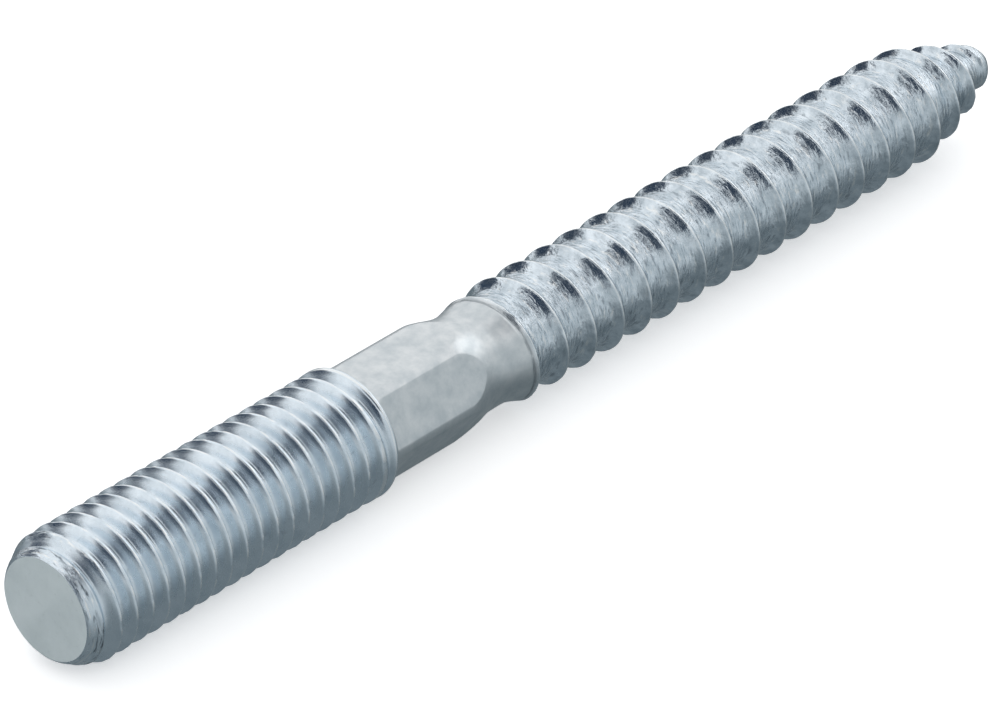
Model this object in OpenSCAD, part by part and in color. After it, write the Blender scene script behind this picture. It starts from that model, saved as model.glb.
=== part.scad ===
// Hanger bolt: a machine thread at one end, a wood thread at the other and a hexagon drive between them.
// The bolt lies along X, with the middle of its flat end at the origin and its tip at +X.

/* [Machine thread] */
// Diameter over the crests
machine_d = 9.85; // [9.4:0.05:12]
// Pitch of the thread
machine_pitch = 1.5; // [1:0.05:1.75]
// Length from the flat end to the rim behind the thread
machine_len = 28.9; // [12:0.1:80]
// Width of the crest
machine_crest_w = 0.18; // [0.14:0.01:0.3]
// Width of the root
machine_root_w = 0.3; // [0.15:0.01:0.4]
// Half of the thread's included angle
machine_flank = 30; // [25:1:35]
// Turn of the thread about the axis
machine_turn = 72; // [0:1:359]
// Turns over which the groove runs out before the rim
machine_end_turns = 0.7; // [0.3:0.05:2]
// Diameter of the flat end
end_flat_d = 7.8; // [5:0.1:9]
// Length of the chamfer behind the flat end
end_chamfer_len = 1.8; // [0.5:0.1:4]

/* [Hexagon drive] */
// Length of the rounded rim between the machine thread and the flats
rim_len = 0.4; // [0.3:0.1:4]
// Diameter of the plain shank, which is also the size across the hexagon's rounded corners
shank_d = 8.85; // [8.5:0.05:9.3]
// Size across the flats
hex_af = 8; // [7.6:0.05:8.6]
// Length of the full hexagon
hex_len = 8; // [3:0.1:40]
// Radius of the scoop where each flat begins
scoop_r = 0.4; // [0.3:0.1:2.5]
// Turn of the hexagon about the axis
hex_turn = 54; // [0:1:59]

/* [Neck] */
// Diameter where the shoulder ends
neck_d = 7.5; // [6.9:0.05:7.55]
// Length of the shoulder from the hexagon to the neck
shoulder_len = 3.7; // [3:0.1:20]
// Length from the shoulder's end to the root of the wood thread
neck_len = 2.5; // [0.5:0.1:4]

/* [Wood thread] */
// Diameter over the crests
wood_d = 8.8; // [8.2:0.05:12]
// Diameter of the root
wood_root_d = 7.3; // [6:0.05:7.8]
// Pitch of the thread
wood_pitch = 3; // [2.2:0.1:5]
// Length from the shoulder's end to the tip
wood_len = 59; // [30:0.5:150]
// Width of the crest
wood_crest_w = 0.2; // [0.1:0.05:0.5]
// Half of the thread's included angle
wood_flank = 35; // [20:1:42]
// Turn of the thread about the axis
wood_turn = 134; // [0:1:359]
// Turns over which the ridge grows from the neck
wood_start_turns = 1.5; // [0.5:0.1:3]

/* [Tip] */
// Length of the tapered tip with its knob
tip_len = 9.5; // [8:0.5:25]
// Diameter of the blunt knob at the end
knob_d = 3.5; // [2.6:0.1:4.4]
// Length of the knob
knob_len = 2.8; // [1.5:0.1:4]
// Turns over which the ridge sinks into the knob
tip_end_turns = 0.5; // [0.3:0.05:2]

/* [Hidden] */

// Straight steps in one turn of a thread, and the turn of the whole bolt that puts one of them lowest
steps = 22;
lowest_turn = 180 / steps;
// Straight steps in a curve of the turned outline
curve_steps = 8;
// Flats of the drive
hex_sides = 6;
// Turns of the groove that run clear of the bar before its flat end
lead_turns = 2;
// Turns over which the back of the first ridge leans on the neck, and over which it then lets go
lean_turns = 0.7;
lean_end_turns = 0.5;
// Shares of the knob: its length up to the widest ring, its waist and its flat face, and the bulge of its end
knob_top = 0.4;
knob_waist = 0.94;
knob_face = 0.2;
knob_bow = 1.3;
// Gap between the groove's straight steps and the round bar, and depth at which the ridge ends in the knob
thread_gap = 0.02;
// Depth to which the ridge is rooted in the bar
thread_bury = 0.3;

machine_r = machine_d / 2;
shank_r = shank_d / 2;
neck_r = neck_d / 2;
wood_root_r = wood_root_d / 2;
knob_r = knob_d / 2;
waist_r = knob_r * knob_waist;
thread_lip = machine_r * (1 / cos(180 / steps) - 1) + thread_gap;
machine_depth = (machine_pitch - machine_crest_w - machine_root_w) / 2 / tan(machine_flank);
wood_height = (wood_d - wood_root_d) / 2;

// Places along the bolt, measured from the flat end
rim_at = machine_len;
hex_at = rim_at + rim_len;
shoulder_at = hex_at + hex_len;
neck_at = shoulder_at + shoulder_len;
root_at = neck_at + neck_len;
tip_at = neck_at + wood_len;
taper_at = tip_at - tip_len;
knob_at = tip_at - knob_len;
ridge_end = knob_at + knob_len * knob_top;

// Smooth rise from 0 to 1, level at both ends
function ease(x) =
    let (u = max(0, min(1, x)))
    u * u * (3 - 2 * u);

// Quick rise from 0 that levels out at 1
function ease_out(x) = 1 - pow(1 - max(0, min(1, x)), 3);

// Radius of the knob, at a share of its length: it swells from the waist to the widest ring, then closes
function knob(u) =
    let (v = (u - knob_top) / (1 - knob_top))
    v < 0
        ? waist_r + (knob_r - waist_r) * ease(u / knob_top)
        : knob_r * (1 - (1 - knob_face) * pow(v, knob_bow));

// Radius of the bolt under the wood thread, at a place along it
function wood_core(z) =
    let (along = max(0, z - taper_at) / (knob_at - taper_at))
    along < 1
        ? wood_root_r + (waist_r - wood_root_r) * along
        : knob((z - knob_at) / knob_len);

// Closed solid carried along a helix, one step of the turn for each section of [radius, place] points
module helix_solid(sections) {
    last = len(sections) - 1;
    ring = len(sections[0]);
    points = [
        for (i = [0:last])
            for (p = sections[i])
                [p[0] * cos(360 * i / steps), p[0] * sin(360 * i / steps), p[1]]
    ];
    sides = [
        for (i = [0:last - 1])
            for (k = [0:ring - 1])
                let (a = i * ring + k, b = i * ring + (k + 1) % ring)
                each [[a, b, b + ring], [a, b + ring, a + ring]]
    ];
    first_cap = [for (k = [ring - 1:-1:0]) k];
    last_cap = [for (k = [0:ring - 1]) last * ring + k];
    polyhedron(points, concat([first_cap], sides, [last_cap]));
}

// Section of the machine thread's groove: full from the flat end on, then out of the bar before the rim
function groove_section(z) =
    let (
        rise = (machine_depth + thread_lip) * ease(1 - (rim_at - z) / machine_pitch / machine_end_turns),
        bottom = machine_r - machine_depth + rise,
        top = machine_r + thread_lip + rise,
        bottom_half = machine_root_w / 2,
        top_half = bottom_half + (machine_depth + thread_lip) * tan(machine_flank)
    )
    [[bottom, z + bottom_half], [bottom, z - bottom_half], [top, z - top_half], [top, z + top_half]];

module machine_groove() {
    start = machine_pitch * (machine_turn / 360 - lead_turns);
    count = ceil((rim_at - start) / machine_pitch * steps);
    helix_solid([for (i = [0:count]) groove_section(start + machine_pitch * i / steps)]);
}

// Section of the wood thread's ridge: the first turn flares out of the neck and the last sinks into the tip
function ridge_section(z, turns) =
    let (
        growth = ease_out(turns / wood_start_turns),
        left = (ridge_end - z) / wood_pitch,
        core = wood_core(z),
        height = (wood_height * growth + thread_gap) * ease(left / tip_end_turns) - thread_gap,
        crest_half = wood_crest_w / 2,
        bottom = core - thread_bury,
        bottom_half = crest_half + (height + thread_bury) * tan(wood_flank),
        lean = (z - neck_at + crest_half) * (1 - ease((turns - lean_turns) / lean_end_turns))
    )
    [
        [bottom, z + bottom_half],
        [bottom, z - max(bottom_half, lean)],
        [core + height, z - crest_half],
        [core + height, z + crest_half]
    ];

module wood_ridge() {
    start = neck_at + wood_pitch * wood_turn / 360;
    count = floor((ridge_end - start) / wood_pitch * steps);
    helix_solid([for (i = [0:count]) ridge_section(start + wood_pitch * i / steps, i / steps)]);
}

// Turned outline of the whole bar, with the machine thread uncut and the wood thread left off
module bar() {
    rim = [
        for (i = [0:curve_steps])
            let (a = 90 * i / curve_steps)
            [shank_r + (machine_r - shank_r) * cos(a), rim_at + rim_len * sin(a)]
    ];
    shoulder = [
        for (i = [0:curve_steps])
            let (u = i / curve_steps)
            [shank_r + (neck_r - shank_r) * ease(u), shoulder_at + shoulder_len * u]
    ];
    end_knob = [
        for (i = [0:curve_steps])
            let (u = i / curve_steps)
            [knob(u), knob_at + knob_len * u]
    ];
    rotate_extrude($fn = steps)
        polygon(concat(
            [[0, 0], [end_flat_d / 2, 0], [machine_r, end_chamfer_len]],
            rim, shoulder, [[wood_root_r, root_at], [wood_root_r, taper_at]], end_knob, [[0, tip_at]]
        ));
}

// One pressed flat, as the metal taken away outside it
module flat_cut() {
    side = shank_d;
    length = neck_at - hex_at - scoop_r;
    rotate([90, 0, 0])
        linear_extrude(height = side, center = true)
            union() {
                translate([hex_af / 2, hex_at + scoop_r])
                    square([side, length]);
                translate([hex_af / 2 + scoop_r, hex_at + scoop_r])
                    circle(r = scoop_r, $fn = 2 * steps);
                translate([hex_af / 2 + scoop_r, hex_at])
                    square([side, scoop_r]);
            }
}

module hanger_bolt() {
    color("silver")
        rotate([0, 90, 0])
            rotate([0, 0, lowest_turn])
                union() {
                    difference() {
                        bar();
                        machine_groove();
                        for (i = [0:hex_sides - 1])
                            rotate([0, 0, hex_turn + 360 * i / hex_sides])
                                flat_cut();
                    }
                    wood_ridge();
                }
}

hanger_bolt();
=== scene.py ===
"""Looks of the hanger bolt: one smooth surface in blue-white zinc, lying on a studio floor."""

import math

import bpy
import numpy as np
from mathutils import Matrix, Vector


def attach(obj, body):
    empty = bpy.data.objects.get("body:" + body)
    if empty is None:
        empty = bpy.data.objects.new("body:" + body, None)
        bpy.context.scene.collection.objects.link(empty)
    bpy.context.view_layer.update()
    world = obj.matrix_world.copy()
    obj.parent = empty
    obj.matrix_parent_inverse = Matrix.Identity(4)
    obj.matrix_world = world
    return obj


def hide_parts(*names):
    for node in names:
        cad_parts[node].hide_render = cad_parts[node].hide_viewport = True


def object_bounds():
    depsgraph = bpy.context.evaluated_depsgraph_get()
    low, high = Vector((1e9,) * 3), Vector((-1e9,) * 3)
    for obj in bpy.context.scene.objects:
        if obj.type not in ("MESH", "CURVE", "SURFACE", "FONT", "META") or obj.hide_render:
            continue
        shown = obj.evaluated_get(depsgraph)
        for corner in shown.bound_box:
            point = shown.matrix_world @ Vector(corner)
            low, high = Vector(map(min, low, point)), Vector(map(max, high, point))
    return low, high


bl_info = {
    "name": "Hanger bolt",
    "version": (1, 0, 0),
    "blender": (4, 5, 0),
    "location": "View3D > Sidebar > Hanger bolt",
    "description": "Makes a zinc plated hanger bolt and the stage it lies on",
    "category": "Object",
}

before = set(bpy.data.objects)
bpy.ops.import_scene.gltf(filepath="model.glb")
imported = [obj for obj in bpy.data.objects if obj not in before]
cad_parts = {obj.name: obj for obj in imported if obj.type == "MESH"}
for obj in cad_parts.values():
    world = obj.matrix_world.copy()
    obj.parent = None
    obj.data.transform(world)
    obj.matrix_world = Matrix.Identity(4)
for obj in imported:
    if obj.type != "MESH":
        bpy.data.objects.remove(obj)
CAD_LOW, CAD_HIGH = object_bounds()
MM = 0.001
TURN = 2 * math.pi

# Shape of the wood thread's ends, as in the solid: turns of the ridge, and shares of the knob
START_TURNS, LEAN_TURNS, LEAN_END_TURNS, TIP_END_TURNS = 1.5, 0.7, 0.5, 0.5
KNOB_TOP, KNOB_WAIST, KNOB_FACE, KNOB_BOW = 0.4, 0.94, 0.2, 1.3
# Depth to which the ridge is rooted in the bar, in millimetres
RIDGE_BURY = 0.3
# Flats of the drive
HEX_SIDES = 6

# Small forms of the surface, in millimetres where no other unit is named.

# Gaps that keep the tip, the crests and the chamfer inside the solid
TIP_GAP, MACHINE_GAP, WOOD_GAP, RIDGE_GAP, CHAMFER_GAP = 0.001, 0.005, 0.002, 0.02, 0.02
# Rounding of the corners between two faces
MACHINE_ROOT_ROUND, MACHINE_CREST_ROUND, CHAMFER_ROUND = 0.22, 0.06, 0.05
FLAT_ROUND, RIDGE_CREST_ROUND = 0.01, 0.03
# Fillet beside the ridge and how much less it is on the leaning back, turns over which it grows and ends, and
# the length over which it leaves the neck
FILLET, FILLET_LEAN, FILLET_TURNS, FILLET_RISE = 0.3, 0.2, 0.4, 1.2
# Hollow bow of the leaning back, as an added power
LEAN_BOW = 0.15
# Burrs and nicks along the crests, with the most that they stand up, and the ridge's wander along the bolt
BURR, BURR_TOP = 0.01, 0.015
NICK, NICK_TOP, WANDER = 0.01, 0.02, 0.012
# Cutter marks and swell of the chamfer, the most that they stand up, and the length over which they begin
CUT, SWELL, CUT_TOP, CUT_RISE = 0.026, 0.02, 0.03, 0.3
# Depth and length of the broken edge round the flat end
BROKEN_EDGE, BROKEN_EDGE_LEN = 0.09, 0.16
# Roughness of the wood thread's root, the share of the ridge that it climbs, and the length over which it
# begins
ROUGH, GRAIN, ROUGH_CLIMB, ROUGH_RISE = 0.006, 0.005, 0.6, 1.5
# Fold in the neck: depth, distance before the first crest, half width, and the length over which it begins
FOLD, FOLD_BEFORE, FOLD_HALF, FOLD_RISE = 0.1, 0.34, 0.2, 0.5
# Share of a turn over which the first crest eases over from the end of its first turn
FIRST_EASE = 0.17
# Satin finish: length over which it begins at the rim, distance before the first crest at which it starts to
# fade, and length of the fade
SATIN_RISE, SATIN_BEFORE, SATIN_FADE = 0.2, 0.2, 0.25
# Torn metal of the chamfer: its reach off the cone, the number of reaches at which it ends, and the length
# over which it begins
TORN_REACH, TORN_SPREAD, TORN_RISE = 0.15, 1.3, 0.1
# Least share of the ridge's growing turns that levels are measured with, and the share by which the level
# dips on satin metal
LEAST_GROWTH, SATIN_DIP = 0.1, 0.06
# Lift of the flats ahead of their scoops, which keeps them clear of the rim
FLAT_CLEAR = 1.0

# Waves of the surface: seed, whole waves around the bolt, and wave lengths along it in millimetres
BURR_WAVES = (5, (9, 40), (0.9, 6.0))
CUT_WAVES = (11, (3, 16), (0.3, 0.8))
SWELL_WAVES = (12, (3, 9), (2.0, 5.0))
WANDER_WAVES = (31, (2, 9), (5.0, 20.0))
NICK_WAVES = (32, (6, 30), (1.0, 4.0))
ROUGH_WAVES = (41, (5, 26), (0.5, 2.5))
GRAIN_WAVES = (42, (14, 44), (0.25, 0.8))

# Rows of the two threads from a groove's middle to a crest, as shares of a pitch, closer at the bends
MACHINE_ROWS = np.array([0.04, 0.08, 0.12, 0.2, 0.3, 0.4, 0.435, 0.46])
WOOD_ROWS = np.array([0.06, 0.12, 0.18, 0.24, 0.285, 0.32, 0.36, 0.41, 0.45, 0.47, 0.485])
# Degrees from a corner of the drive at which columns stand, up to the middle of a flat
CORNER_COLUMNS = np.array([2.2, 4.3, 5.1, 8.0, 12.0, 16.5, 21.0, 25.5])
# Shares of the scoop and of the two end faces at which rings stand
SCOOP_ROWS = np.array([0, 0.08, 0.2, 0.4, 0.65, 1.0])
END_RINGS = np.array([0, 0.12, 0.3, 0.5, 0.7, 0.85, 0.94, 0.98, 1.0])
TIP_RINGS = np.array([1, 0.9, 0.7, 0.35, 0])
# Rows over the rim, the flats, the shoulder and the knob, and the power that draws the knob's to its end
RIM_ROWS, FLAT_ROWS, SHOULDER_ROWS, KNOB_ROWS, KNOB_CROWD = 8, 10, 15, 14, 0.8
# Distance from the end of a flat, in millimetres, of the two rows that keep it crisp
EDGE_ROW = 0.04
# Turns of helical rows laid beyond each end of a thread, where they close up
SPARE_TURNS = 2
# Decimals of a millimetre within which points are merged
WELD_DECIMALS = 4

# Contrast of the plating's clouds and of the rolling marks
CLOUD_GAIN, MARK_GAIN = 3.2, 9.0
# Fineness of the cutter marks on torn metal, in noise cells a metre along the bolt and around it
CUT_ACROSS, CUT_ALONG = 6000.0, 800.0
# Levels between which a crest gets its pale painted highlight, and the roughness added there
CREST_FROM, CREST_TO, CREST_DULL = 0.955, 0.985, 0.15
# Brightness of the surroundings as a light, and to the eye and in mirror images
WORLD_LIGHT, WORLD_SEEN = 0.8, 1.0
# Shares of the thick zinc's colour and of the rolled metal's roughness that the wood thread keeps
WOOD_DARK, WOOD_ROUGH = 0.85, 0.6
# Glow that the floor has to the eye and in mirror images, and how much paler its grain is
FLOOR_LIFT, FLOOR_GRAIN = 0.42, 1.02
# Half of the floor's width in metres, and the height above it of the cards that lie on it, in millimetres
FLOOR_HALF, CARD_LIFT = 3, 0.1


def size(name, millimetres, description):
    """Length property with a default in millimetres, which Blender keeps in metres."""
    return bpy.props.FloatProperty(
        name=name, description=description, default=millimetres * MM, min=0, precision=5, unit="LENGTH"
    )


def tint(name, colour, description):
    """Colour property in linear red, green and blue."""
    return bpy.props.FloatVectorProperty(
        name=name, description=description, default=colour, size=3, min=0, max=1, subtype="COLOR"
    )


def share(name, value, description):
    """Property that runs from 0 to 1."""
    return bpy.props.FloatProperty(
        name=name, description=description, default=value, min=0, max=1, subtype="FACTOR"
    )


def angle(name, degrees, description):
    """Angle property with a default in degrees, which Blender keeps in radians."""
    return bpy.props.FloatProperty(
        name=name, description=description, default=math.radians(degrees), subtype="ANGLE"
    )


class HangerBoltSizes(bpy.types.PropertyGroup):
    """Sizes of the bolt, the same as the solid's. Its three turns include the turn of the whole solid."""

    machine_d: size("Machine thread diameter", 9.85, "Diameter over the crests of the machine thread")
    machine_pitch: size("Machine pitch", 1.5, "Pitch of the machine thread")
    machine_len: size("Machine length", 28.9, "Length from the flat end to the rim")
    machine_crest: size("Machine crest", 0.18, "Width of the machine thread's crest")
    machine_root: size("Machine root", 0.3, "Width of the machine thread's root")
    machine_flank: angle("Machine flank", 30, "Half of the machine thread's included angle")
    machine_turn: angle("Machine turn", 63.82, "Turn of the machine thread about the axis")
    machine_runout: share("Machine run-out", 0.7, "Turns over which the groove runs out before the rim")
    end_flat_d: size("Flat end diameter", 7.8, "Diameter of the flat end inside its chamfer")
    end_chamfer: size("Chamfer length", 1.8, "Length of the chamfer behind the flat end")
    rim_len: size("Rim length", 0.4, "Length of the rounded rim behind the machine thread")
    shank_d: size("Shank diameter", 8.85, "Size across the hexagon's rounded corners")
    hex_af: size("Across flats", 8.0, "Size across the flats of the drive")
    hex_len: size("Drive length", 8.0, "Length of the full hexagon")
    hex_turn: angle("Drive turn", 2.18, "Turn of the hexagon about the axis")
    scoop: size("Scoop radius", 0.4, "Radius of the scoop where each flat begins")
    neck_d: size("Neck diameter", 7.5, "Diameter where the shoulder ends")
    shoulder_len: size("Shoulder length", 3.7, "Length of the shoulder from the hexagon to the neck")
    neck_len: size("Neck length", 2.5, "Length from the shoulder's end to the wood thread's root")
    wood_d: size("Wood thread diameter", 8.8, "Diameter over the crests of the wood thread")
    wood_root_d: size("Wood root diameter", 7.3, "Diameter of the wood thread's root")
    wood_pitch: size("Wood pitch", 3.0, "Pitch of the wood thread")
    wood_len: size("Wood length", 59.0, "Length from the shoulder's end to the tip")
    wood_crest: size("Wood crest", 0.2, "Width of the wood thread's crest")
    wood_flank: angle("Wood flank", 35, "Half of the wood thread's included angle")
    wood_turn: angle("Wood turn", 125.82, "Turn of the wood thread about the axis")
    tip_len: size("Tip length", 9.5, "Length of the tapered tip with its knob")
    knob_d: size("Knob diameter", 3.5, "Diameter of the blunt knob at the end")
    knob_len: size("Knob length", 2.8, "Length of the knob")


class HangerBoltFinish(bpy.types.PropertyGroup):
    """Colours and polish of the zinc."""

    zinc: tint("Zinc", (0.77, 0.85, 0.915), "Blue-white zinc on the rolled metal")
    zinc_deep: tint("Thick zinc", (0.61, 0.70, 0.77), "Bluer zinc where the plating is cloudy")
    satin: tint("Satin tint", (0.9, 0.855, 0.815), "Warmer, darker tint of the drive and the neck")
    # Dark marks in the hollows and on torn metal, and painted shade in the neck's fold
    soot: tint("Dark spots", (0.10, 0.13, 0.16), "Marks left in the scratches and pits")
    end_pale: tint("End, pale", (0.575, 0.645, 0.665), "Matt zinc on the sheared flat end")
    end_deep: tint("End, dark", (0.495, 0.565, 0.585), "Cloudy patches of the flat end")
    # Pale colour of the painted highlight along the crests, of the painted sparkle in the hollows and of the
    # pale streaks on torn metal
    worn: tint("Worn crests", (0.98, 0.98, 0.96), "Pale metal along the crests of both threads")
    polish: share("Roughness", 0.2, "Roughness of the rolled metal")
    end_polish: share("End roughness", 0.62, "Roughness of the flat end")


class HangerBoltStage(bpy.types.PropertyGroup):
    """Camera and floor."""

    azimuth: angle("Azimuth", -48.61, "Direction the camera looks from, about the vertical")
    elevation: angle("Elevation", 31.33, "Height of the camera above the horizon")
    distance: size("Distance", 455.9, "Distance from the camera to its target")
    target_x: size("Target along the bolt", 44.36, "Place along the bolt at the middle of the picture")
    drop: size("Target drop", 0.6, "How far the target lies below the axis and in front of it")
    lens: bpy.props.FloatProperty(
        name="Lens", description="Focal length", default=234.9, min=1, unit="CAMERA"
    )
    floor: tint("Floor", (0.86, 0.87, 0.88), "Plain pale floor")


# Shape of the bolt. Places and radii are in millimetres; angles run from straight down towards +Y.


class Outline:
    """Sizes in millimetres, with the places along the bolt that follow from them."""

    def __init__(self, sizes):
        for key in HangerBoltSizes.__annotations__:
            is_length = not key.endswith(("_turn", "_flank", "_runout"))
            setattr(self, key, getattr(sizes, key) / MM if is_length else getattr(sizes, key))
        groove_w = self.machine_pitch - self.machine_crest - self.machine_root
        self.machine_depth = groove_w / 2 / math.tan(self.machine_flank)
        self.wood_height = (self.wood_d - self.wood_root_d) / 2
        self.rim_at = self.machine_len
        self.hex_at = self.rim_at + self.rim_len
        self.shoulder_at = self.hex_at + self.hex_len
        self.neck_at = self.shoulder_at + self.shoulder_len
        self.root_at = self.neck_at + self.neck_len
        self.tip_at = self.neck_at + self.wood_len - TIP_GAP
        self.taper_at = self.tip_at - self.tip_len
        self.knob_at = self.tip_at - self.knob_len
        self.ridge_start = self.neck_at + self.wood_pitch * self.wood_turn / TURN
        self.ridge_end = self.knob_at + KNOB_TOP * self.knob_len


def ease(x):
    """Smooth rise from 0 to 1: three times the square less twice the cube, held at both ends."""
    x = np.clip(x, 0, 1)
    return x * x * (3 - 2 * x)


def round_max(a, b, blend):
    """The larger of two surfaces with their corner rounded: half their sum, plus half the root of the
    squares of their gap and the blend."""
    return 0.5 * (a + b + np.sqrt((a - b) ** 2 + blend**2))


def round_min(a, b, blend):
    """The smaller of two surfaces with their corner rounded, as in round_max."""
    return 0.5 * (a + b - np.sqrt((a - b) ** 2 + blend**2))


def waves(turn, place, seed, around, lengths, count=24):
    """Sum of seeded sine waves, scaled to a spread of about one. Each has a whole number of waves around
    the bolt, so that it closes on itself, and a wave length along it."""
    rng = np.random.default_rng(seed)
    number = rng.integers(around[0], around[1] + 1, count) * rng.choice([-1, 1], count)
    along = TURN / rng.uniform(*lengths, count)
    shift = rng.uniform(0, TURN, count)
    total = np.zeros(np.broadcast(turn, place).shape)
    for n, k, s in zip(number, along, shift):
        total += np.sin(n * turn + k * place + s)
    return total / math.sqrt(count / 2)


def chamfer_cone(o, z):
    """Radius of the chamfer's cone, which rises evenly from the flat end to the full thread."""
    return o.end_flat_d / 2 + (o.machine_d - o.end_flat_d) / 2 * z / o.end_chamfer


def machine_radius(o, z, a):
    """Machine thread at place z and angle a. The distance q from the groove's middle repeats every pitch
    along the helix; the radius is the root, plus the flank's rise with q, held at the crest. The groove
    sinks away near the rim, and the chamfer's cone cuts the thread at the flat end."""
    phase = z / o.machine_pitch - (o.machine_turn + a) / TURN
    off = (phase - np.round(phase)) * o.machine_pitch
    q = np.abs(off)
    left = (o.rim_at - (z - off)) / o.machine_pitch
    sunk = o.machine_depth * ease(1 - left / o.machine_runout)
    root = o.machine_d / 2 - o.machine_depth + sunk
    flank = root + (q - o.machine_root / 2) / math.tan(o.machine_flank)
    thread = round_max(root, flank, MACHINE_ROOT_ROUND)
    burr = np.minimum(BURR * waves(a, z, *BURR_WAVES), BURR_TOP)
    crest = o.machine_d / 2 - MACHINE_GAP - (BURR_TOP - burr) * ease((o.rim_at - z) / o.machine_pitch)
    thread = round_min(thread, crest, MACHINE_CREST_ROUND)
    cuts = CUT * waves(a, z, *CUT_WAVES) + SWELL * waves(a, z, *SWELL_WAVES)
    cone = chamfer_cone(o, z) - CHAMFER_GAP + np.minimum(cuts, CUT_TOP) * ease(z / CUT_RISE)
    cone = cone - BROKEN_EDGE * np.clip(1 - z / BROKEN_EDGE_LEN, 0, 1) ** 2
    return np.minimum(round_min(thread, cone, CHAMFER_ROUND), o.machine_d / 2)


def beside_flat(o, a):
    """Angle from the middle of the nearest flat of the drive."""
    step = TURN / HEX_SIDES
    turned = a - o.hex_turn + step / 2
    return turned - np.floor(turned / step) * step - step / 2


def flat_end(o, a):
    """Place where each flat runs out: the shoulder's eased fall is solved for the radius of the flat."""
    fall = (o.shank_d - o.hex_af / np.cos(beside_flat(o, a))) / (o.shank_d - o.neck_d)
    along = 0.5 - np.sin(np.arcsin(1 - 2 * np.clip(fall, 0, 1)) / 3)
    return o.shoulder_at + o.shoulder_len * along


def drive_radius(o, z, a):
    """Rim, hexagon drive and shoulder. The bar's radius falls by a quarter ellipse over the rim, stays
    level, then eases down to the neck. Each flat is a plane at half the size across flats, lifted by a
    circular scoop where it begins and clear of the rim before that."""
    along = np.clip((z - o.rim_at) / o.rim_len, 0, 1)
    rim = (o.machine_d - o.shank_d) / 2 * np.sqrt(1 - along**2)
    fall = (o.shank_d - o.neck_d) / 2 * ease((z - o.shoulder_at) / o.shoulder_len)
    bar = o.shank_d / 2 + rim - fall
    into = np.clip(1 - (z - o.hex_at) / o.scoop, 0, 1)
    lift = o.scoop * (1 - np.sqrt(1 - into**2)) + np.where(z < o.hex_at, FLAT_CLEAR, 0.0)
    flat = (o.hex_af / 2 + lift) / np.cos(beside_flat(o, a))
    return round_min(bar, flat, FLAT_ROUND)


def core_radius(o, z):
    """Bar under the wood thread: the neck, the level root, a straight cone down to the knob's waist, and
    the knob, which swells to its widest ring and then closes by one less a power a little over one."""
    neck = (o.neck_d - o.wood_root_d) / 2 * (1 - ease((z - o.neck_at) / o.neck_len))
    root = o.wood_root_d / 2
    widest = o.knob_d / 2
    waist = KNOB_WAIST * widest
    cone = root + (waist - root) * np.clip((z - o.taper_at) / (o.knob_at - o.taper_at), 0, 1)
    swell = (widest - waist) * ease((z - o.knob_at) / (o.ridge_end - o.knob_at))
    close = np.clip((z - o.ridge_end) / (o.tip_at - o.ridge_end), 0, 1) ** KNOB_BOW
    return (cone + swell + neck) * (1 - (1 - KNOB_FACE) * close)


def ridge_growth(turns, least=0.0):
    """Share of its full height that the ridge has after some turns: one less the cube of what is left to
    grow. The share of the growing turns is held at a least value."""
    return 1 - (1 - np.clip(turns / START_TURNS, least, 1)) ** 3


def ridge_radius(o, z, a, index):
    """The core with one turn of the wood thread's ridge. The crest follows the helix and is level for a
    third of its width on either side of its middle; its two flanks fall at the flank's angle, the back of
    the first turn leaning down to the neck. Its height grows out of the neck and sinks into the tip, and
    so does the fillet that joins it to the core."""
    turns = index + a / TURN
    crest_at = o.ridge_start + o.wood_pitch * turns
    core = core_radius(o, np.minimum(crest_at, o.ridge_end))
    left = (o.ridge_end - crest_at) / o.wood_pitch
    height = o.wood_height * ridge_growth(turns) * ease(left / TIP_END_TURNS)
    leaning = 1 - ease((turns - LEAN_TURNS) / LEAN_END_TURNS)
    run = (height + RIDGE_BURY) * math.tan(o.wood_flank)
    lean = (crest_at - o.neck_at) * leaning
    off = z - crest_at
    back = leaning * (off < 0)
    reach = np.abs(off + WANDER * waves(a, crest_at, *WANDER_WAVES)) - o.wood_crest / 3
    reach = round_max(reach, 0, RIDGE_CREST_ROUND)
    down = reach / np.where(off < 0, np.maximum(run, lean), run)
    fall = 1 - np.maximum(1 - down, 0) ** (1 + LEAN_BOW * back) + np.maximum(down - 1, 0)
    nick = np.minimum(NICK * waves(a, crest_at, *NICK_WAVES), NICK_TOP)
    ridge = core + height - RIDGE_GAP + nick * (1 - back) - (height + RIDGE_BURY * (1 - back)) * fall
    fillet = (FILLET - FILLET_LEAN * back) * ease(turns / FILLET_TURNS) * ease(left / FILLET_TURNS)
    fillet = fillet * ease((z - o.neck_at) / FILLET_RISE)
    return round_max(core_radius(o, z), np.where((turns >= 0) & (left > 0), ridge, 0), fillet)


def past_first_crest(o, z, a):
    """How far a place lies past the wood thread's first crest, along the bolt. Where the ridge begins, the
    crest eases over from the end of its first turn."""
    turn = np.mod(a, TURN) / TURN
    return z - o.ridge_start - o.wood_pitch * (turn + (1 - ease(turn / FIRST_EASE)))


def first_fold(o, z, a):
    """Narrow fold in the neck just before the first crest: 1 in its middle, 0 away from it."""
    return ease(1 - np.abs(past_first_crest(o, z, a) + FOLD_BEFORE) / FOLD_HALF)


def wood_radius(o, z, a):
    """Wood thread: the largest of the nearest turns of the ridge on its core, with a slightly rough root
    and a fold in the neck."""
    near = np.floor((z - o.neck_at) / o.wood_pitch - (o.wood_turn + a) / TURN)
    thread = np.maximum.reduce([ridge_radius(o, z, a, near + k) for k in (0, 1, 2)])
    rough = ROUGH * waves(a, z, *ROUGH_WAVES) + GRAIN * waves(a, z, *GRAIN_WAVES)
    low = 1 - ease((thread - core_radius(o, z)) / o.wood_height / ROUGH_CLIMB)
    thread = thread + rough * low * ease((z - o.root_at) / ROUGH_RISE) * thread / (o.wood_d / 2)
    thread = thread - FOLD * first_fold(o, z, a) * ease((z - o.neck_at) / FOLD_RISE)
    return np.minimum(thread, o.wood_d / 2 - WOOD_GAP)


def ring_grid(places, turns):
    """Straight rings: every place with every angle."""
    return np.meshgrid(places, turns, indexing="ij")


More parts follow.
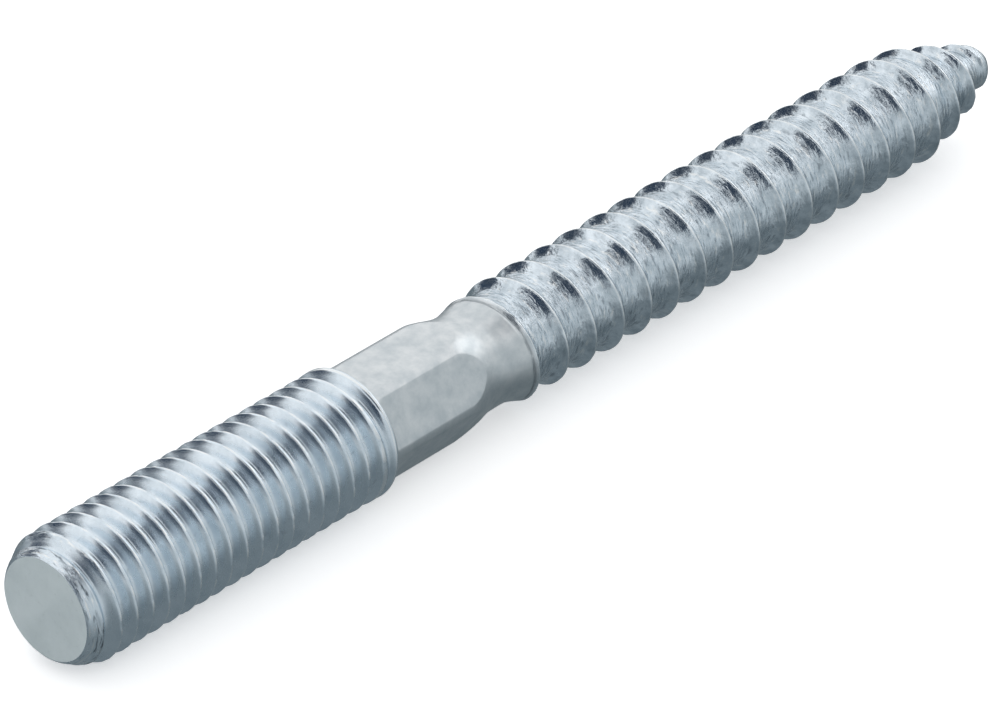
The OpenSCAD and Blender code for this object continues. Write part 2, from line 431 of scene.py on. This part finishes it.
def helix_grid(first, last, pitch, start, phases, turns):
    """Rows that follow a thread: each stands at one phase of one turn and climbs a pitch around the bolt.
    It is held between the first and the last place, where the rows close up into flat rings."""
    low = math.floor((first - start) / pitch) - SPARE_TURNS
    high = math.ceil((last - start) / pitch) + SPARE_TURNS + 1
    rows = (np.arange(low, high)[:, None] + phases[None, :]).ravel()
    place = start + pitch * (rows[:, None] + turns[None, :] / TURN)
    return np.clip(place, first, last), np.broadcast_to(turns, place.shape)


def skin(grid_shape, first_vertex, rows_a_turn):
    """Four-sided faces of a grid whose last column joins its first, as many rows on as a turn climbs."""
    rows, columns = grid_shape
    index = first_vertex + np.arange(rows * columns).reshape(rows, columns)
    shown = rows - rows_a_turn
    wrapped = np.concatenate([index[:shown], index[rows_a_turn:, :1]], axis=1)
    corners = [wrapped[:-1, :-1], wrapped[:-1, 1:], wrapped[1:, 1:], wrapped[1:, :-1]]
    return np.stack(corners, axis=-1).reshape(-1, 4)


def weld(points, faces, kinds, heights):
    """Merge points at one place, drop faces that closed up, and give back points, faces, kinds and
    heights."""
    rounded = np.round(points, WELD_DECIMALS)
    _, first, back = np.unique(rounded, axis=0, return_index=True, return_inverse=True)
    faces = back.reshape(-1)[faces]
    same = faces == np.roll(faces, -1, axis=1)
    whole = ~same.any(axis=1)
    pinched = same.sum(axis=1) == 1
    triangles = faces[pinched][~same[pinched]].reshape(-1, 3)
    polygons = faces[whole].tolist() + triangles.tolist()
    return points[first], polygons, np.concatenate([kinds[whole], kinds[pinched]]), heights[first]


# Kinds of face, in the order of their materials
FLAT_END, MACHINE, DRIVE, WOOD = range(4)


def bolt_columns(o):
    """Angles of the surface's columns, closer together at the rounded corners of the drive."""
    sector = 360 / HEX_SIDES
    degrees = np.concatenate([[0], CORNER_COLUMNS, [sector / 2], sector - CORNER_COLUMNS[::-1]])
    corners = o.hex_turn + TURN / HEX_SIDES / 2 + TURN / HEX_SIDES * np.arange(HEX_SIDES)
    return (corners[:, None] + np.radians(degrees)[None, :]).ravel()


def pitch_phases(half):
    """Phases of a whole pitch: a groove, half a pitch of rows, the crest and the same rows mirrored."""
    return np.concatenate([[0], half, [0.5], 1 - half[::-1]])


def drive_grid(o, turns):
    """Rows over the drive. They follow the curved ends of the flats, with two rows close to that edge."""
    level = np.concatenate([
        o.rim_at + o.rim_len * np.sin(np.linspace(0, math.pi / 2, RIM_ROWS + 1)[:-1]),
        o.hex_at + o.scoop * SCOOP_ROWS,
    ])
    ends = flat_end(o, turns)[None, :]
    begin = o.hex_at + o.scoop
    flats = begin + (ends - EDGE_ROW - begin) * np.linspace(0, 1, FLAT_ROWS + 1)[1:, None]
    down = np.linspace(0, 1, SHOULDER_ROWS)[:, None]
    shoulder = ends + EDGE_ROW + (o.neck_at - ends - EDGE_ROW) * down
    level = np.broadcast_to(level[:, None], (len(level), len(turns)))
    rows = np.concatenate([level, flats, shoulder])
    return rows, np.broadcast_to(turns, rows.shape)


def bolt_surface(o):
    """The whole bolt as one closed surface, radius as a function of place and angle: a disc, the machine
    thread on helical rows, rings over the drive, the wood thread on helical rows, and rings over the domed
    tip."""
    turns = bolt_columns(o)
    columns = len(turns)
    machine_phases = pitch_phases(MACHINE_ROWS)
    wood_phases = pitch_phases(WOOD_ROWS)
    machine_start = o.machine_pitch * o.machine_turn / TURN
    wood_start = o.neck_at + o.wood_pitch * (o.wood_turn / TURN + 0.5)
    knob_places = o.ridge_end + (o.tip_at - o.ridge_end) * np.linspace(0, 1, KNOB_ROWS) ** KNOB_CROWD

    parts = []
    edge = machine_radius(o, np.zeros(columns), turns)
    spread, around = ring_grid(END_RINGS, turns)
    parts.append((np.zeros_like(spread), around, spread * edge, FLAT_END, 0))
    z, a = helix_grid(0, o.rim_at, o.machine_pitch, machine_start, machine_phases, turns)
    r = np.where(z < o.rim_at, machine_radius(o, z, a), drive_radius(o, z, a))
    parts.append((z, a, r, MACHINE, len(machine_phases)))
    z, a = drive_grid(o, turns)
    parts.append((z, a, drive_radius(o, z, a), DRIVE, 0))
    z, a = helix_grid(o.neck_at, o.ridge_end, o.wood_pitch, wood_start, wood_phases, turns)
    r = np.where(z > o.neck_at, wood_radius(o, z, a), drive_radius(o, z, a))
    parts.append((z, a, r, WOOD, len(wood_phases)))
    z, a = ring_grid(knob_places, turns)
    parts.append((z, a, wood_radius(o, z, a), WOOD, 0))
    edge = wood_radius(o, np.full(columns, o.tip_at), turns)
    spread, around = ring_grid(TIP_RINGS, turns)
    parts.append((np.full_like(spread, o.tip_at), around, spread * edge, WOOD, 0))

    points, faces, kinds, total = [], [], [], 0
    for z, a, r, kind, rows_a_turn in parts:
        points.append(np.stack([z, r * np.sin(a), -r * np.cos(a)], axis=-1).reshape(-1, 3))
        quads = skin(z.shape, total, rows_a_turn)
        faces.append(quads)
        kinds.append(np.full(len(quads), kind))
        total += z.size
    heights = np.concatenate([r.ravel() for _, _, r, _, _ in parts])
    return weld(np.concatenate(points), np.concatenate(faces), np.concatenate(kinds), heights)


def angle_of(points):
    """Angle of each point about the bolt."""
    return np.arctan2(points[:, 1], -points[:, 2])


def satin_of(o, points):
    """How satin each point is: 1 on the drive and the neck up to the first crest, 0 on the two threads."""
    past = past_first_crest(o, points[:, 0], angle_of(points))
    return ease((points[:, 0] - o.rim_at) / SATIN_RISE) * (1 - ease((past + SATIN_BEFORE) / SATIN_FADE))


def torn_and_fold_shade_of(o, points, heights):
    """How torn each point is: 1 on the chamfer's cone, looked for within twice its length, and in the fold
    before the first crest, where the wood thread's finish paints shade, 0 elsewhere."""
    place = points[:, 0]
    near = ease(TORN_SPREAD - np.abs(heights - chamfer_cone(o, place)) / TORN_REACH)
    chamfer = near * ease(place / TORN_RISE) * (place < 2 * o.end_chamfer)
    return np.where(place < o.rim_at, chamfer, first_fold(o, place, angle_of(points)))


def level_of(o, points, heights):
    """How far each point lies between root, 0, and crest, 1, of its thread."""
    place = points[:, 0]
    machine = (heights - o.machine_d / 2 + o.machine_depth) / o.machine_depth
    turns = (place - o.neck_at) / o.wood_pitch - o.wood_turn / TURN
    wood = (heights - core_radius(o, place)) / (o.wood_height * ridge_growth(turns, LEAST_GROWTH))
    level = np.clip(np.where(place < o.hex_at, machine, wood), 0, 1)
    return level * (1 - SATIN_DIP * satin_of(o, points))


# Shader building blocks.


def node_in(tree, kind, inputs=(), **settings):
    """Add a node to a tree; inputs are pairs of a socket and either a value or another node's output."""
    node = tree.nodes.new(kind)
    for key, value in settings.items():
        setattr(node, key, value)
    for socket, value in inputs:
        if isinstance(value, bpy.types.NodeSocket):
            tree.links.new(value, node.inputs[socket])
        else:
            node.inputs[socket].default_value = value
    return node


def math_in(tree, operation, *values, clamp=False):
    """Add a math node on values or other nodes' outputs, and give back its output."""
    node = node_in(tree, "ShaderNodeMath", enumerate(values), operation=operation, use_clamp=clamp)
    return node.outputs[0]


def mix_in(tree, factor, first, second, blend="MIX"):
    """Add a mix of two colours, and give back its output."""
    inputs = [("Factor", factor), (6, first), (7, second)]
    return node_in(tree, "ShaderNodeMix", inputs, data_type="RGBA", blend_type=blend).outputs[2]


def node_in_group(tree, group, inputs):
    """Add a shader group to a tree with its inputs set, and give back its outputs."""
    return node_in(tree, "ShaderNodeGroup", inputs, node_tree=group).outputs


def new_group(name, inputs, outputs):
    """Empty shader group with named sockets: inputs are (name, type, default), outputs are (name, type)."""
    tree = bpy.data.node_groups.new(name, "ShaderNodeTree")
    for label, kind, value in inputs:
        socket = tree.interface.new_socket(label, in_out="INPUT", socket_type=kind)
        if value is not None:
            socket.default_value = value
    for label, kind in outputs:
        tree.interface.new_socket(label, in_out="OUTPUT", socket_type=kind)
    return tree, tree.nodes.new("NodeGroupInput").outputs, tree.nodes.new("NodeGroupOutput").inputs


def cloudy_zinc_group():
    """Plating that drifts between two colours in soft clouds."""
    tree, given, made = new_group(
        "cloudy_zinc",
        [
            ("Vector", "NodeSocketVector", None),
            ("Scale", "NodeSocketFloat", 300.0),
            ("Pale", "NodeSocketColor", (0.6, 0.65, 0.7, 1)),
            ("Deep", "NodeSocketColor", (0.4, 0.45, 0.5, 1)),
            ("Balance", "NodeSocketFloat", 0.5),
        ],
        [("Color", "NodeSocketColor"), ("Cloud", "NodeSocketFloat")],
    )
    inputs = [("Vector", given["Vector"]), ("Scale", given["Scale"]), ("Detail", 5.0), ("Roughness", 0.6)]
    noise = node_in(tree, "ShaderNodeTexNoise", inputs).outputs["Fac"]
    shifted = math_in(tree, "SUBTRACT", noise, given["Balance"])
    cloud = math_in(tree, "MULTIPLY_ADD", shifted, CLOUD_GAIN, 0.5, clamp=True)
    tree.links.new(mix_in(tree, cloud, given["Pale"], given["Deep"]), made["Color"])
    tree.links.new(cloud, made["Cloud"])
    return tree


def rolling_marks_group():
    """Streaks that run round the bolt, drawn out by the rolling dies: a height for bump, a mask of the deep
    ones and a mask of the bright ones, which in the thread's hollows are painted sparkle."""
    tree, given, made = new_group(
        "rolling_marks",
        [
            ("Vector", "NodeSocketVector", None),
            ("Across", "NodeSocketFloat", 2600.0),
            ("Along", "NodeSocketFloat", 260.0),
            ("Depth", "NodeSocketFloat", 0.62),
        ],
        [("Height", "NodeSocketFloat"), ("Marks", "NodeSocketFloat"), ("Flecks", "NodeSocketFloat")],
    )
    sides = [(0, given["Across"]), (1, given["Along"]), (2, given["Along"])]
    stretch = node_in(tree, "ShaderNodeCombineXYZ", sides).outputs[0]
    pair = [(0, given["Vector"]), (1, stretch)]
    drawn = node_in(tree, "ShaderNodeVectorMath", pair, operation="MULTIPLY").outputs[0]
    inputs = [("Vector", drawn), ("Scale", 1.0), ("Detail", 4.0), ("Roughness", 0.55)]
    noise = node_in(tree, "ShaderNodeTexNoise", inputs).outputs["Fac"]
    over = math_in(tree, "SUBTRACT", noise, given["Depth"])
    both = math_in(tree, "ADD", noise, given["Depth"])
    marks = math_in(tree, "MULTIPLY", over, MARK_GAIN, clamp=True)
    flecks = math_in(tree, "MULTIPLY_ADD", both, -MARK_GAIN, MARK_GAIN, clamp=True)
    for output, name in ((noise, "Height"), (marks, "Marks"), (flecks, "Flecks")):
        tree.links.new(output, made[name])
    return tree


def rgba(colour):
    """Opaque colour with its fourth value."""
    return (*colour, 1.0)


def zinc_material(name, finish, groups, look):
    """One finish of the zinc: clouds between two colours, streaks in the hollows of the thread that darken
    and roughen it, with pale flecks in them that are painted sparkle, a painted highlight along the crest,
    torn metal, painted shade in the neck's fold, and a satin drive and neck."""
    material = bpy.data.materials.new(name)
    material.use_nodes = True
    tree = material.node_tree
    shader = tree.nodes["Principled BSDF"]
    place = node_in(tree, "ShaderNodeTexCoord").outputs["Object"]

    def times(first, second):
        return math_in(tree, "MULTIPLY", first, second)

    def plus(first, second, factor):
        return math_in(tree, "MULTIPLY_ADD", second, factor, first)

    def attribute(key):
        return node_in(tree, "ShaderNodeAttribute", attribute_name=key).outputs["Fac"]

    def ramp(value, low, high, bottom, top):
        inputs = [("Value", value), ("From Min", low), ("From Max", high)]
        inputs += [("To Min", bottom), ("To Max", top)]
        return node_in(tree, "ShaderNodeMapRange", inputs, interpolation_type="SMOOTHSTEP").outputs["Result"]

    def marks_group(across, along, depth):
        inputs = [("Vector", place), ("Across", across), ("Along", along), ("Depth", depth)]
        return node_in_group(tree, groups["rolling_marks"], inputs)

    level, satin, torn = attribute("level"), attribute("satin"), attribute("torn")
    deep = mix_in(tree, satin, rgba(look["deep"]), rgba(finish.zinc_deep))
    inputs = [("Vector", place), ("Scale", look["cloud"]), ("Balance", look["balance"]),
              ("Pale", rgba(look["pale"])), ("Deep", deep)]
    cloud = node_in_group(tree, groups["cloudy_zinc"], inputs)
    marks = marks_group(look["across"], look["along"], look["depth"])
    cuts = marks_group(CUT_ACROSS, CUT_ALONG, look["cut"])
    height, dark, pale = (
        node_in(tree, "ShaderNodeMix", [("Factor", torn), (2, marks[key]), (3, cuts[key])]).outputs[0]
        for key in ("Height", "Marks", "Flecks")
    )

    low, high = look["hollow"]
    hollow = ramp(level, low, high, 1.0, look["flank"])
    # Painted highlight: pale colour along the crests, where the crest line catches the light
    crest = ramp(level, CREST_FROM, CREST_TO, 0.0, look["edge"])
    rolled = times(hollow, math_in(tree, "SUBTRACT", 1.0, satin))
    # Dark marks in the hollows and on torn metal; in the neck's fold they are painted shade
    stain = times(dark, plus(times(rolled, look["stain"]), torn, look["tear"]))
    # Pale flecks in the hollows are painted sparkle; on torn metal they are pale streaks
    bright = times(pale, plus(times(rolled, look["fleck"]), torn, look["shine"]))
    colour = mix_in(tree, satin, cloud["Color"], rgba(finish.satin), "MULTIPLY")
    for mask, tone in ((stain, finish.soot), (bright, finish.worn), (crest, finish.worn)):
        colour = mix_in(tree, mask, colour, rgba(tone))
    tree.links.new(colour, shader.inputs["Base Color"])

    rough = plus(look["rough"], cloud["Cloud"], look["haze"])
    rough = plus(plus(plus(rough, rolled, look["drag"]), crest, CREST_DULL), satin, look["satin"])
    tree.links.new(rough, shader.inputs["Roughness"])
    shader.inputs["Metallic"].default_value = look["metal"]

    strength = plus(plus(times(rolled, look["bump"]), satin, look["grain"]), torn, look["tear"])
    inputs = [("Height", height), ("Strength", strength), ("Distance", look["relief"] * MM)]
    tree.links.new(node_in(tree, "ShaderNodeBump", inputs).outputs[0], shader.inputs["Normal"])
    return material


def bolt_materials(finish):
    """Finishes of the flat end, the machine thread, the drive and the wood thread, in the order of the face
    kinds."""
    groups = {"cloudy_zinc": cloudy_zinc_group(), "rolling_marks": rolling_marks_group()}
    # Row by row: colours and clouds; metal and roughness, with what clouds, hollows and satin add to it;
    # marks of the dies and the cutter, the levels between which a hollow ends and what is left of it above
    # them; strengths of stains, of pale flecks that are painted sparkle, of tears, which on the wood thread
    # are painted shade in the neck's fold, of bright tears and of the painted highlight on the crests;
    # strengths of the bump in the hollows and on satin, and its depth in millimetres
    rolled = dict(
        pale=finish.zinc, deep=finish.zinc_deep, cloud=420.0, balance=0.55,
        metal=1.0, rough=finish.polish, haze=0.08, drag=0.05, satin=0.1,
        across=3500.0, along=1500.0, depth=0.6, cut=0.55, hollow=(0.3, 0.8), flank=0.0,
        stain=0.2, fleck=0.1, tear=0.7, shine=0.7, edge=0.5,
        bump=0.05, grain=0.03, relief=0.1,
    )
    end = dict(
        rolled, pale=finish.end_pale, deep=finish.end_deep, cloud=260.0, balance=0.5,
        metal=0.35, rough=finish.end_polish, haze=0.1, across=500.0, along=2600.0,
        stain=0.1, fleck=0.0, tear=0.0, shine=0.0, edge=0.0,
    )
    drive = dict(
        rolled, cloud=900.0, balance=0.5, across=2600.0, along=2600.0,
        stain=0.0, fleck=0.0, tear=0.0, shine=0.0, edge=0.0, bump=0.0,
    )
    # On the wood thread the tear strength darkens the neck's fold: painted shade
    wood = dict(
        rolled, deep=[WOOD_DARK * c for c in finish.zinc_deep], cloud=900.0, balance=0.5,
        rough=WOOD_ROUGH * finish.polish, satin=rolled["satin"] + (1 - WOOD_ROUGH) * finish.polish,
        across=4200.0, along=1100.0, depth=0.56, cut=0.42, hollow=(0.25, 0.55), flank=0.38,
        stain=0.48, fleck=0.6, tear=1.0, shine=0.0, edge=0.4, bump=0.95, relief=0.125,
    )
    looks = {
        "zinc_flat_end": end,
        "zinc_machine_thread": rolled,
        "zinc_drive": drive,
        "zinc_wood_thread": wood,
    }
    return [zinc_material(name, finish, groups, look) for name, look in looks.items()]


class HANGERBOLT_OT_bolt(bpy.types.Operator):
    """Make the bolt's surface and put it in place of its solid"""

    bl_idname = "hanger_bolt.bolt"
    bl_label = "Bolt"

    def execute(self, context):
        o = Outline(context.scene.hanger_bolt_sizes)
        points, polygons, kinds, heights = bolt_surface(o)
        mesh = bpy.data.meshes.new("bolt_surface")
        mesh.from_pydata(points * MM, [], polygons)
        mesh.polygons.foreach_set("material_index", kinds.astype(np.int32))
        mesh.polygons.foreach_set("use_smooth", np.ones(len(kinds), bool))
        wear = {
            "level": level_of(o, points, heights),
            "satin": satin_of(o, points),
            "torn": torn_and_fold_shade_of(o, points, heights),
        }
        for name, values in wear.items():
            attribute = mesh.attributes.new(name, "FLOAT", "POINT")
            attribute.data.foreach_set("value", values.astype(np.float32))
        for material in bolt_materials(context.scene.hanger_bolt_finish):
            mesh.materials.append(material)
        if mesh.validate():
            raise RuntimeError("the bolt's surface has faulty faces")
        bolt = bpy.data.objects.new("bolt_surface", mesh)
        context.scene.collection.objects.link(bolt)
        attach(bolt, "root")
        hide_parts("hanger_bolt")
        return {"FINISHED"}


def seen_ray(tree):
    """1 for rays that come from the camera, a mirror image or glass, otherwise 0."""
    path = node_in(tree, "ShaderNodeLightPath").outputs
    either = math_in(tree, "MAXIMUM", path["Is Camera Ray"], path["Is Glossy Ray"])
    return math_in(tree, "MAXIMUM", either, path["Is Transmission Ray"])


def floor_material(colour):
    """Pale matt floor, a little brighter to the eye than it is as a light, so that it meets the white
    backdrop."""
    material = bpy.data.materials.new("studio_floor")
    material.use_nodes = True
    tree = material.node_tree
    shader = tree.nodes["Principled BSDF"]
    grain = node_in(tree, "ShaderNodeTexNoise", [("Scale", 40.0), ("Detail", 3.0)]).outputs["Fac"]
    paler = [min(1, FLOOR_GRAIN * c) for c in colour]
    tree.links.new(mix_in(tree, grain, rgba(colour), rgba(paler)), shader.inputs["Base Color"])
    shader.inputs["Roughness"].default_value = 0.9
    shader.inputs["Specular IOR Level"].default_value = 0.0
    shader.inputs["Emission Color"].default_value = (1, 1, 1, 1)
    lift = math_in(tree, "MULTIPLY", seen_ray(tree), FLOOR_LIFT)
    tree.links.new(lift, shader.inputs["Emission Strength"])
    return material


def sheet_mesh(name, corner, side, rise):
    """Flat four-sided sheet from one corner and two sides."""
    corner, side, rise = Vector(corner), Vector(side), Vector(rise)
    mesh = bpy.data.meshes.new(name)
    mesh.from_pydata([corner, corner + side, corner + side + rise, corner + rise], [], [(0, 1, 2, 3)])
    mesh.uv_layers.new(name="sheet").data.foreach_set("uv", (0, 0, 1, 0, 1, 1, 0, 1))
    return mesh


def card(context, name, corner, side, rise, grey, end=None, bend=1.0):
    """Flat glowing studio card that only mirror images show, a painted reflection in the metal: dark cards
    paint shade, bright ones paint highlights. It may fade to a second tone along its rise, by a power of the
    way up."""
    material = bpy.data.materials.new(name)
    material.use_nodes = True
    tree = material.node_tree
    tree.nodes.remove(tree.nodes["Principled BSDF"])
    flat = node_in(tree, "ShaderNodeTexCoord").outputs["UV"]
    way = node_in(tree, "ShaderNodeSeparateXYZ", [(0, flat)]).outputs["Y"]
    tone = mix_in(tree, math_in(tree, "POWER", way, bend), rgba(grey), rgba(end or grey))
    glow = node_in(tree, "ShaderNodeEmission", [("Color", tone), ("Strength", 1.0)])
    tree.links.new(glow.outputs[0], tree.nodes["Material Output"].inputs["Surface"])
    mesh = sheet_mesh(name, corner, side, rise)
    mesh.materials.append(material)
    sheet = bpy.data.objects.new(name, mesh)
    context.scene.collection.objects.link(sheet)
    for ray_kind in ("camera", "diffuse", "shadow", "transmission", "volume_scatter"):
        setattr(sheet, "visible_" + ray_kind, False)


def lamp(context, name, place, aim, across, watts):
    """Square soft box aimed at a point, which mirror images don't show."""
    light = bpy.data.lights.new(name, "AREA")
    light.shape = "SQUARE"
    light.size = across
    light.energy = watts
    box = bpy.data.objects.new(name, light)
    box.location = place
    box.rotation_euler = (Vector(aim) - Vector(place)).to_track_quat("-Z", "Y").to_euler()
    box.visible_glossy = False
    context.scene.collection.objects.link(box)


def studio_world():
    """White surroundings for what the eye and mirrors see, and an even soft light for the rest."""
    world = bpy.data.worlds.new("studio")
    world.use_nodes = True
    tree = world.node_tree
    back = tree.nodes["Background"]
    back.inputs["Color"].default_value = (1, 1, 1, 1)
    inputs = [("Value", seen_ray(tree)), ("To Min", WORLD_LIGHT), ("To Max", WORLD_SEEN)]
    level = node_in(tree, "ShaderNodeMapRange", inputs).outputs["Result"]
    tree.links.new(level, back.inputs["Strength"])
    return world


class HANGERBOLT_OT_stage(bpy.types.Operator):
    """Lay the floor, hang the cards and lamps, and set the camera"""

    bl_idname = "hanger_bolt.stage"
    bl_label = "Stage"

    def execute(self, context):
        scene = context.scene
        stage = scene.hanger_bolt_stage
        scene.view_settings.view_transform = "Standard"
        scene.world = studio_world()

        floor_z = CAD_LOW.z
        mesh = sheet_mesh(
            "floor", (-FLOOR_HALF, -FLOOR_HALF, floor_z), (2 * FLOOR_HALF, 0, 0), (0, 2 * FLOOR_HALF, 0)
        )
        mesh.materials.append(floor_material(stage.floor))
        floor = bpy.data.objects.new("floor", mesh)
        scene.collection.objects.link(floor)

        # Cards: corner, side and rise in metres, tone, then the tone they fade to and the power of the fade
        low = floor_z + CARD_LIFT * MM
        dark, shade, middle = (0.035, 0.052, 0.08), (0.18, 0.21, 0.225), (0.61, 0.645, 0.66)
        blue, rosy, bright = (0.33, 0.385, 0.425), (0.435, 0.435, 0.44), (1.7, 1.7, 1.7)
        # Painted shadow: table_card and the near end of front_table_card's fade are the bolt's shadow on the
        # floor, seen only in the metal's mirror images
        card(context, "table_card", (-0.25, -0.008, low), (0.42, 0, 0), (0, 0.35, 0), shade)
        card(context, "front_table_card", (-0.6, -0.2, low), (1.9, 0, 0), (0, 0.192, 0), middle, shade, 17.0)
        card(context, "far_table_card", (-0.6, -0.5, low), (1.9, 0, 0), (0, 0.3, 0), middle)
        card(context, "front_card", (-0.6, -0.5, floor_z), (1.9, 0, 0), (0, 0, 0.45), middle, (1, 1, 1), 4.0)
        card(context, "left_low_card", (-0.6, -0.5, floor_z), (0, 0.8, 0), (0, 0, 0.06), rosy)
        card(context, "left_middle_card", (-0.6, -0.45, 0.055), (0, 0.55, 0), (0, 0, 0.05), blue)
        card(context, "left_dark_card", (-0.6, -0.45, 0.105), (0, 0.55, 0), (0, 0, 0.45), dark)
        card(context, "overhead_card", (-0.5, -0.87, 0.8), (0.75, 0, 0), (0, 0.77, 0), dark)
        card(context, "back_card", (-0.52, 0.6, 0.045), (0.67, 0, 0), (0, 0, 0.36), dark)
        # right_card glows brighter than white: a painted highlight on the neck's shoulder
        card(context, "right_card", (0.6, -0.15, 0.11), (0, 0.25, 0), (0, 0, 0.24), bright)
        # Lamps: place, aim and width in metres, and watts
        lamp(context, "key_box", (0.55, 0.75, 0.75), (0.05, 0, 0), 0.9, 3.0)
        lamp(context, "fill_box", (-0.7, -0.6, 0.9), (0.05, 0, 0), 0.8, 2.2)

        view = bpy.data.cameras.new("camera")
        view.lens = stage.lens
        view.clip_start, view.clip_end = 0.01, 20
        camera = bpy.data.objects.new("camera", view)
        scene.collection.objects.link(camera)
        az, el = stage.azimuth, stage.elevation
        back = Vector((math.sin(az) * math.cos(el), -math.cos(az) * math.cos(el), math.sin(el)))
        target = Vector((stage.target_x, -stage.drop, -stage.drop))
        camera.matrix_world = Matrix.Translation(target + back * stage.distance) @ (
            back.to_track_quat("Z", "Y").to_matrix().to_4x4()
        )
        scene.camera = camera
        return {"FINISHED"}


class HANGERBOLT_PT_panel(bpy.types.Panel):
    """Sidebar panel that lists the steps and the values behind them"""

    bl_idname = "HANGERBOLT_PT_panel"
    bl_label = "Hanger bolt"
    bl_space_type = "VIEW_3D"
    bl_region_type = "UI"
    bl_category = "Hanger bolt"

    def draw(self, context):
        for group in ("sizes", "finish", "stage"):
            values = getattr(context.scene, "hanger_bolt_" + group)
            box = self.layout.box()
            box.label(text=group.capitalize())
            for key in values.__annotations__:
                box.prop(values, key)
        self.layout.operator(HANGERBOLT_OT_bolt.bl_idname)
        self.layout.operator(HANGERBOLT_OT_stage.bl_idname)


GROUPS = {
    "hanger_bolt_sizes": HangerBoltSizes,
    "hanger_bolt_finish": HangerBoltFinish,
    "hanger_bolt_stage": HangerBoltStage,
}
CLASSES = (*GROUPS.values(), HANGERBOLT_OT_bolt, HANGERBOLT_OT_stage, HANGERBOLT_PT_panel)


def register():
    for cls in CLASSES:
        bpy.utils.register_class(cls)
    for name, cls in GROUPS.items():
        setattr(bpy.types.Scene, name, bpy.props.PointerProperty(type=cls))


def unregister():
    for name in GROUPS:
        delattr(bpy.types.Scene, name)
    for cls in reversed(CLASSES):
        bpy.utils.unregister_class(cls)


def main():
    register()
    bpy.ops.hanger_bolt.bolt()
    bpy.ops.hanger_bolt.stage()


if __name__ == "__main__":
    main()
